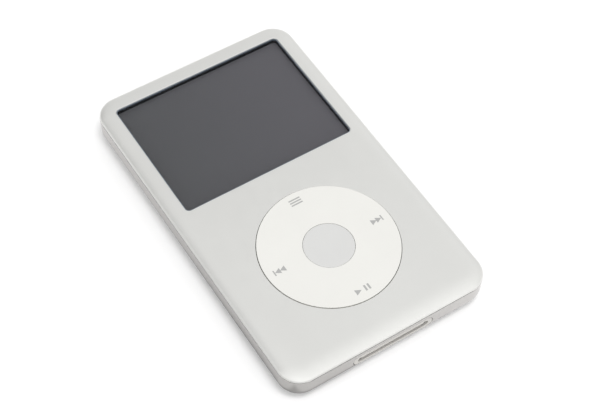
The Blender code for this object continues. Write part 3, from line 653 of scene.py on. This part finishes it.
def end_cutter(name, end, centre, outline):
    """The form of an opening with a softened edge in an end; outline takes a growth."""
    bm = bmesh.new()
    add_loft(bm, [
        on_end(end, centre, outline(END_FLARE + CUT_BEYOND), -CUT_BEYOND),
        on_end(end, centre, outline(END_FLARE), 0.0),
        on_end(end, centre, outline(0.0), END_FLARE),
        on_end(end, centre, outline(0.0), CUT_THROUGH),
    ])
    return as_mesh(name, bm)


def place_on_end(box):
    """(x, z) of a box's middle, seen from an end."""
    return middle(box[0]), middle(box[2])


def dock_outline(grow):
    return stadium(DOCK_W + 2 * grow, DOCK_H + 2 * grow)


def jack_outline(grow):
    return circle(JACK_R + grow, JACK_SIDES)


def lock_outline(grow):
    return stadium(LOCK_W + 2 * grow, LOCK_H + 2 * grow)


def back_shell():
    """The polished shell: a rounded tray with openings for the dock, the jack and the lock."""
    rim = [(inset, SEAM_LOW - drop) for inset, drop in RIM_ARC] + [(REAR_WALL, SEAM_LOW)]
    inner = rear_profile(REAR_WALL)
    places = rear_profile(0.0) + rim + list(reversed(inner))
    bm = bmesh.new()
    add_loft(bm, [shell_ring(*place) for place in places])
    cutters = [
        end_cutter("dock_cut", -1, place_on_end(DOCK), lambda grow: dock_outline(FIT + grow)),
        end_cutter("jack_cut", 1, place_on_end(JACK), lambda grow: jack_outline(FIT + grow)),
        end_cutter("lock_cut", 1, place_on_end(LOCK), lambda grow: lock_outline(FIT + grow)),
    ]
    mesh = cut("back_shell", as_mesh("back_shell", bm), cutters)
    show("back_shell", mesh, FINISHES["polished_steel"], replaced=["rear_shell"])


# ---- screen --------------------------------------------------------------------------------

def window_pane():
    """The clear pane, with a rounded edge."""
    bm = bmesh.new()
    edge = reversed(fillet(PANE_EDGE, steps=4))
    places = [(PANE_GAP, WINDOW_LOW)]
    places += [(PANE_GAP + away, WINDOW_TOP - drop) for away, drop in edge]
    add_loft(bm, [at(window_outline(-inset), z) for inset, z in places])
    show("window_pane", as_mesh("window_pane", bm), FINISHES["clear_window"],
         replaced=["display_window"])


def window_hoop(name, places, stuff):
    """A hoop inside the window's opening, from how far in and how high its edges lie."""
    bm = bmesh.new()
    add_hoop(bm, [at(window_outline(-inset), z) for inset, z in places])
    show(name, as_mesh(name, bm), stuff)


def window_surround():
    """The dark mask round the pane, with a ledge round the display, and its paler rim, whose
    blue-grey is a painted reflection of the window's edge.
    """
    border = MASK_WALL + LCD_BORDER
    ledge = LCD_TOP + LCD_BORDER_HIGH
    window_hoop("window_mask", [
        (MASK_GAP, LCD_TOP + CLEAR), (MASK_GAP, MASK_RIM_LOW), (MASK_WALL, MASK_RIM_LOW),
        (MASK_WALL, ledge), (border, ledge), (border, LCD_TOP + CLEAR),
    ], FINISHES["black_plastic"])
    # this rim's blue-grey is a painted reflection of the window's edge
    window_hoop("window_rim_painted_reflection", [
        (MASK_GAP, MASK_RIM_LOW), (MASK_GAP, MASK_RIM_TOP - MASK_RIM_BEVEL),
        (MASK_GAP + MASK_RIM_BEVEL, MASK_RIM_TOP), (MASK_WALL, MASK_RIM_TOP),
        (MASK_WALL, MASK_RIM_LOW),
    ], FINISHES["rim_grey"])


# ---- wheel and button ----------------------------------------------------------------------

def wheel_disc():
    """The touch wheel: a ring with rounded edges and a hidden flange."""
    face = WHEEL_TOP - MARK_HEIGHT
    inner = BUTTON_R + BUTTON_GAP
    outer = WHEEL_R + WHEEL_FLANGE
    shoulder = WHEEL_LOW + WHEEL_FLANGE_HIGH
    places = [(outer, WHEEL_LOW), (outer, shoulder), (WHEEL_R, shoulder)]
    places += [(WHEEL_R - away, face - drop) for away, drop in reversed(fillet(WHEEL_EDGE))]
    places += [(inner + away, face - drop) for away, drop in fillet(WHEEL_EDGE)]
    places += [(inner, WHEEL_LOW)]
    bm = bmesh.new()
    add_hoop(bm, [at(circle(radius, centre=WHEEL_SPOT), z) for radius, z in places])
    show("wheel_disc", as_mesh("wheel_disc", bm), FINISHES["white_plastic"], "wheel",
         ["touch_wheel"])


def button_cap():
    """The centre button: a stem, a hidden flange and a slightly dished face."""
    outer = BUTTON_R + BUTTON_FLANGE
    flange_low, flange_high = (BUTTON_LOW + height for height in BUTTON_FLANGE_Z)
    places = [(BUTTON_STEM_R, BUTTON_LOW), (BUTTON_STEM_R, flange_low), (outer, flange_low),
              (outer, flange_high), (BUTTON_R, flange_high)]
    places += [(BUTTON_R - away, BUTTON_TOP - drop)
               for away, drop in reversed(fillet(BUTTON_EDGE))]
    for i in range(1, DISH_STEPS):
        share = i / DISH_STEPS
        sink = BUTTON_DISH * (1 - (1 - share) ** 2)
        places.append(((BUTTON_R - BUTTON_EDGE) * (1 - share), BUTTON_TOP - sink))
    bm = bmesh.new()
    add_loft(bm, [at(circle(radius, BUTTON_SIDES, WHEEL_SPOT), z) for radius, z in places])
    show("button_cap", as_mesh("button_cap", bm), FINISHES["light_grey_plastic"], "button",
         ["centre_button"])


def arrow(left, width):
    """A triangle that points right, as tall as a mark."""
    return [(left, -MARK_TALL / 2), (left + width, 0.0), (left, MARK_TALL / 2)]


def box_outline(left, low, width, height):
    return [(left, low), (left + width, low), (left + width, low + height), (left, low + height)]


def bar(left, width):
    """An upright bar, as tall as a mark."""
    return box_outline(left, -MARK_TALL / 2, width, MARK_TALL)


def wheel_mark(name, x, y, outlines):
    """A printed mark, as thin flat forms on the wheel round (x, y) from its middle."""
    bm = bmesh.new()
    face = WHEEL_TOP - MARK_HEIGHT
    for outline in outlines:
        placed = [(WHEEL_SPOT[0] + x + px, WHEEL_SPOT[1] + y + py) for px, py in outline]
        add_loft(bm, [at(placed, face - MARK_HEIGHT), at(placed, WHEEL_TOP)])
    show(name, as_mesh(name, bm), FINISHES["mark_ink"], "wheel")


def wheel_marks():
    """Next, previous, play or pause, and a plain mark of three lines for the list of songs."""
    skip = [arrow(-SKIP_HALF, SKIP_ARROW), arrow(-SKIP_HALF + SKIP_STEP, SKIP_ARROW),
            bar(SKIP_HALF - SKIP_BAR, SKIP_BAR)]
    skip_back = [[(-px, py) for px, py in reversed(outline)] for outline in skip]
    play = [arrow(PLAY_LEFT, PLAY_ARROW), *(bar(left, PAUSE_BAR) for left in PAUSE_LEFTS)]
    lines = [box_outline(-LIST_HALF, row * LIST_PITCH - LIST_LINE / 2, 2 * LIST_HALF, LIST_LINE)
             for row in (-1, 0, 1)]
    wheel_mark("mark_next", MARK_NEXT_X, 0.0, skip)
    wheel_mark("mark_previous", MARK_PREVIOUS_X, 0.0, skip_back)
    wheel_mark("mark_play_pause", 0.0, MARK_PLAY_Y, play)
    wheel_mark("mark_list", 0.0, MARK_LIST_Y, lines)


# ---- sockets and lock switch ---------------------------------------------------------------

def end_hoop(name, end, box, rings, stuff, replaced):
    """A ring on an end of the shell, from outlines and their depths."""
    bm = bmesh.new()
    centre = place_on_end(box)
    add_hoop(bm, [on_end(end, centre, outline, depth) for outline, depth in rings])
    show(name, as_mesh(name, bm), stuff, replaced=replaced)


def bezel_rings(outer, inner, deep):
    """Outer wall, rounded front and inner wall of a bezel; outer and inner take a growth."""
    rings = [(outer(0.0), deep)]
    rings += [(outer(-away), FACE_SET_BACK + drop) for away, drop in reversed(fillet(END_EDGE))]
    rings += [(inner(away), FACE_SET_BACK + drop) for away, drop in fillet(END_EDGE)]
    return rings + [(inner(0.0), deep)]


def dock():
    """The dock's white surround, and a black well behind its lip that paints the shade deep in the
    slot.
    """
    def opening(grow):
        return stadium(DOCK_OPEN[0] + 2 * grow, DOCK_OPEN[1] + 2 * grow)

    rings = bezel_rings(dock_outline, opening, DOCK_LIP)
    rings[0] = (dock_outline(0.0), DOCK_BEZEL_DEPTH)
    rings += [(opening(DOCK_WELL), DOCK_LIP), (opening(DOCK_WELL), DOCK_BEZEL_DEPTH)]
    end_hoop("dock_surround", -1, DOCK, rings, FINISHES["dock_white"], ["dock_bezel"])
    # the black well is painted shade: it gives the thin dark line under the slot's upper lip
    front, back = DOCK_LIP + CLEAR, DOCK_BEZEL_DEPTH + DOCK_WELL_END
    wall = opening(DOCK_WELL - CLEAR)
    well = [(wall, front), (wall, back), (opening(0.0), back), (opening(0.0), front)]
    end_hoop("dock_shade_well", -1, DOCK, well, FINISHES["black_plastic"], [])


def tongue():
    """The dock's tongue, with rounded front edges."""
    box = spans("dock_tongue")
    front, back = box[1]

    def across(shrink, y):
        outline = rounded(half(box[0]) - shrink, half(box[2]) - shrink, TONGUE_CORNER, steps=4,
                          centre=(0.0, middle(box[2])))
        return [(x, y, z) for x, z in outline]

    rings = [across(0.0, back)]
    rings += [across(away, front + drop) for away, drop in reversed(fillet(TONGUE_EDGE))]
    bm = bmesh.new()
    add_loft(bm, rings)
    show("plug_tongue", as_mesh("plug_tongue", bm), FINISHES["dock_white"],
         replaced=["dock_tongue"])


def jack():
    """The white surround of the earphone socket."""
    rings = bezel_rings(jack_outline, lambda grow: circle(JACK_BORE + grow, JACK_SIDES),
                        JACK_BEZEL_DEPTH)
    end_hoop("jack_surround", 1, JACK, rings, FINISHES["white_plastic"], ["jack_bezel"])


def lock():
    """The white surround of the lock switch."""
    def opening(grow):
        return stadium(LOCK_OPEN[0] + 2 * grow, LOCK_OPEN[1] + 2 * grow)

    rings = bezel_rings(lock_outline, opening, LOCK_BEZEL_DEPTH)
    end_hoop("lock_surround", 1, LOCK, rings, FINISHES["white_plastic"], ["lock_bezel"])


def lock_thumb():
    """The lock's slider: a heel behind the bezel, and a ridged thumb piece with rounded edges."""
    centre = place_on_end(spans("lock_slider"))
    slot_half = LOCK_OPEN[1] / 2
    tall = slot_half - THUMB_GAP
    flat = THUMB_DEPTH + RIDGE_HEIGHT
    heel_front, heel_back = HEEL_DEPTH
    heel = rounded(THUMB_HALF + HEEL_REACH[0], slot_half + HEEL_REACH[1], HEEL_CORNER, steps=6)

    def thumb(shrink):
        return rounded(THUMB_HALF - shrink, tall - shrink, tall - shrink - THUMB_FLAT, steps=10)

    def ridge(middle_x, shrink):
        return rounded(RIDGE_HALF - shrink, tall - RIDGE_END - shrink,
                       RIDGE_HALF - shrink - RIDGE_FLAT, steps=4, centre=(middle_x, 0.0))

    bm = bmesh.new()
    add_loft(bm, [on_end(1, centre, heel, heel_back), on_end(1, centre, heel, heel_front)])
    rings = [(thumb(0.0), heel_front + THUMB_ROOT)]
    rings += [(thumb(away), flat + drop) for away, drop in reversed(fillet(THUMB_EDGE))]
    add_loft(bm, [on_end(1, centre, outline, depth) for outline, depth in rings])
    for i in range(RIDGES):
        ridge_x = (i - (RIDGES - 1) / 2) * RIDGE_PITCH
        foot = ridge(ridge_x, 0.0)
        add_loft(bm, [on_end(1, centre, foot, flat + RIDGE_ROOT),
                      on_end(1, centre, foot, flat - RIDGE_STEP),
                      on_end(1, centre, ridge(ridge_x, RIDGE_SLOPE), THUMB_DEPTH)])
    show("lock_thumb", as_mesh("lock_thumb", bm), FINISHES["light_grey_plastic"], "lock",
         ["lock_slider"])


# ---- stage ---------------------------------------------------------------------------------

def carry_over():
    """Gives each CAD node that is still shown its procedural finish."""
    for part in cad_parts.values():
        for holder in part.material_slots:
            name = holder.material.name.split(".")[0]
            holder.link = "OBJECT"
            holder.material = FINISHES[name]


def foot_shade(tree, position):
    """Darkens the mirrored paper close to the body's foot, along the near part of the left side."""
    size = vector_node(tree, "ABSOLUTE", position)
    beyond = vector_node(tree, "SUBTRACT", size, Vector((HALF_W, HALF_L, 0.0)) * MM)
    outside = vector_node(tree, "MAXIMUM", beyond, (0.0, 0.0, 0.0))
    from_body = vector_node(tree, "LENGTH", outside)
    near = fade(tree, from_body, FOOT_START * MM, FOOT_REACH * MM, 1.0, 0.0)
    from_spot = vector_node(tree, "DISTANCE", position, Vector(FOOT_SPOT) * MM)
    along = fade(tree, from_spot, 0.0, FOOT_LENGTH * MM, FOOT_DEPTH, 0.0)
    amount = math_node(tree, "MULTIPLY", near, along)
    return mixed(tree, amount, (1.0, 1.0, 1.0), (0.0, 0.0, 0.0))


def reflected_paper_painted_shade():
    """The paper as polished parts mirror it, with painted shade: dimmer, most of all on the left,
    and darker at the body's foot.
    """
    made = finish("reflected_paper_painted_shade", (DIM_FAR,) * 3, 0.85, tint=0.0, bump_depth=0.0)
    tree = made.node_tree
    coordinate = node(tree, "ShaderNodeTexCoord")
    away = vector_node(tree, "DISTANCE", coordinate.outputs["Object"], Vector(DIM_SPOT) * MM)
    share = node(tree, "ShaderNodeMapRange")
    share.inputs["From Min"].default_value = DIM_INNER * MM
    share.inputs["From Max"].default_value = DIM_OUTER * MM
    tree.links.new(away, share.inputs["Value"])
    # painted shade: darker near DIM_SPOT, and a painted shadow at the body's foot on top
    shade = mixed(tree, share.outputs["Result"], (DIM_NEAR,) * 3, (DIM_FAR,) * 3)
    both = multiplied(tree, shade, foot_shade(tree, coordinate.outputs["Object"]))
    tree.links.new(both, tree.nodes["Principled BSDF"].inputs["Base Color"])
    return made


def lay_paper(name, z, paper):
    """A round sheet of paper at this height, as part of the stage."""
    bm = bmesh.new()
    bmesh.ops.create_circle(bm, cap_ends=True, segments=96, radius=PAPER_RADIUS * MM)
    mesh = as_mesh(name, bm)
    mesh.materials.append(paper)
    made = bpy.data.objects.new(name, mesh)
    made.location.z = z * MM
    bpy.context.scene.collection.objects.link(made)
    return made


def floor():
    """White paper, and just over it a copy of it with painted shade, which only reflections show."""
    paper = finish("paper", (0.88, 0.88, 0.88), 0.85, tint=0.0, bump_depth=0.0)
    shader = paper.node_tree.nodes["Principled BSDF"]
    shader.inputs["Emission Color"].default_value = (1.0, 1.0, 1.0, 1.0)
    shader.inputs["Emission Strength"].default_value = PAPER_GLOW
    lay_paper("floor", PAPER_Z, paper).visible_glossy = False
    mirrored = lay_paper("floor_in_reflections", MIRRORED_PAPER_Z, reflected_paper_painted_shade())
    mirrored.visible_camera = False
    mirrored.visible_diffuse = False
    mirrored.visible_shadow = False
    mirrored.visible_transmission = False


def lamp():
    """A soft light overhead for the paper and the plastics; the metal mirrors the room alone."""
    light = bpy.data.lights.new("overhead", "AREA")
    light.shape = "DISK"
    light.size = LAMP_SIZE * MM
    light.energy = LAMP_POWER
    made = bpy.data.objects.new("overhead", light)
    made.location = Vector(LAMP_PLACE) * MM
    made.visible_glossy = False
    bpy.context.scene.collection.objects.link(made)


def room():
    """A pale room as a world shader, dimmer in some directions."""
    world = bpy.data.worlds.new("studio")
    bpy.context.scene.world = world
    world.use_nodes = True
    tree = world.node_tree
    direction = node(tree, "ShaderNodeTexCoord").outputs["Generated"]

    def facing(towards):
        return vector_node(tree, "DOT_PRODUCT", direction, Vector(towards).normalized())

    level = ROOM_LEVEL
    for towards, amount in ROOM_DIMMER:
        share = math_node(tree, "MAXIMUM", facing(towards), 0.0)
        level = math_node(tree, "SUBTRACT", level, math_node(tree, "MULTIPLY", share, amount))
    for towards, inner, outer, least in ROOM_GAPS:
        start, end = math.cos(math.radians(outer)), math.cos(math.radians(inner))
        gap = fade(tree, facing(towards), start, end, 1.0, least)
        level = math_node(tree, "MULTIPLY", level, gap)
    glow = tree.nodes["Background"]
    glow.inputs["Color"].default_value = (1.0, 1.0, 1.0, 1.0)
    tree.links.new(level, glow.inputs["Strength"])


def camera():
    """Aims the camera at a point on the object, and rolls it a little about its own axis."""
    data = bpy.data.cameras.new("camera")
    data.sensor_width = CAMERA_SENSOR
    data.lens = CAMERA_LENS
    made = bpy.data.objects.new("camera", data)
    place = Vector(CAMERA_PLACE) * MM
    made.location = place
    made.rotation_mode = "QUATERNION"
    level = (Vector(CAMERA_AIM) * MM - place).to_track_quat("-Z", "Y")
    roll = Quaternion((0.0, 0.0, 1.0), math.radians(CAMERA_ROLL_DEG))
    made.rotation_quaternion = level @ roll
    bpy.context.scene.collection.objects.link(made)
    bpy.context.scene.camera = made


front_shell()
seam_shade_lip()
back_shell()
window_pane()
window_surround()
wheel_disc()
button_cap()
wheel_marks()
dock()
tongue()
jack()
lock()
lock_thumb()
carry_over()
floor()
room()
lamp()
camera()
bpy.context.scene.view_settings.view_transform = "Standard"
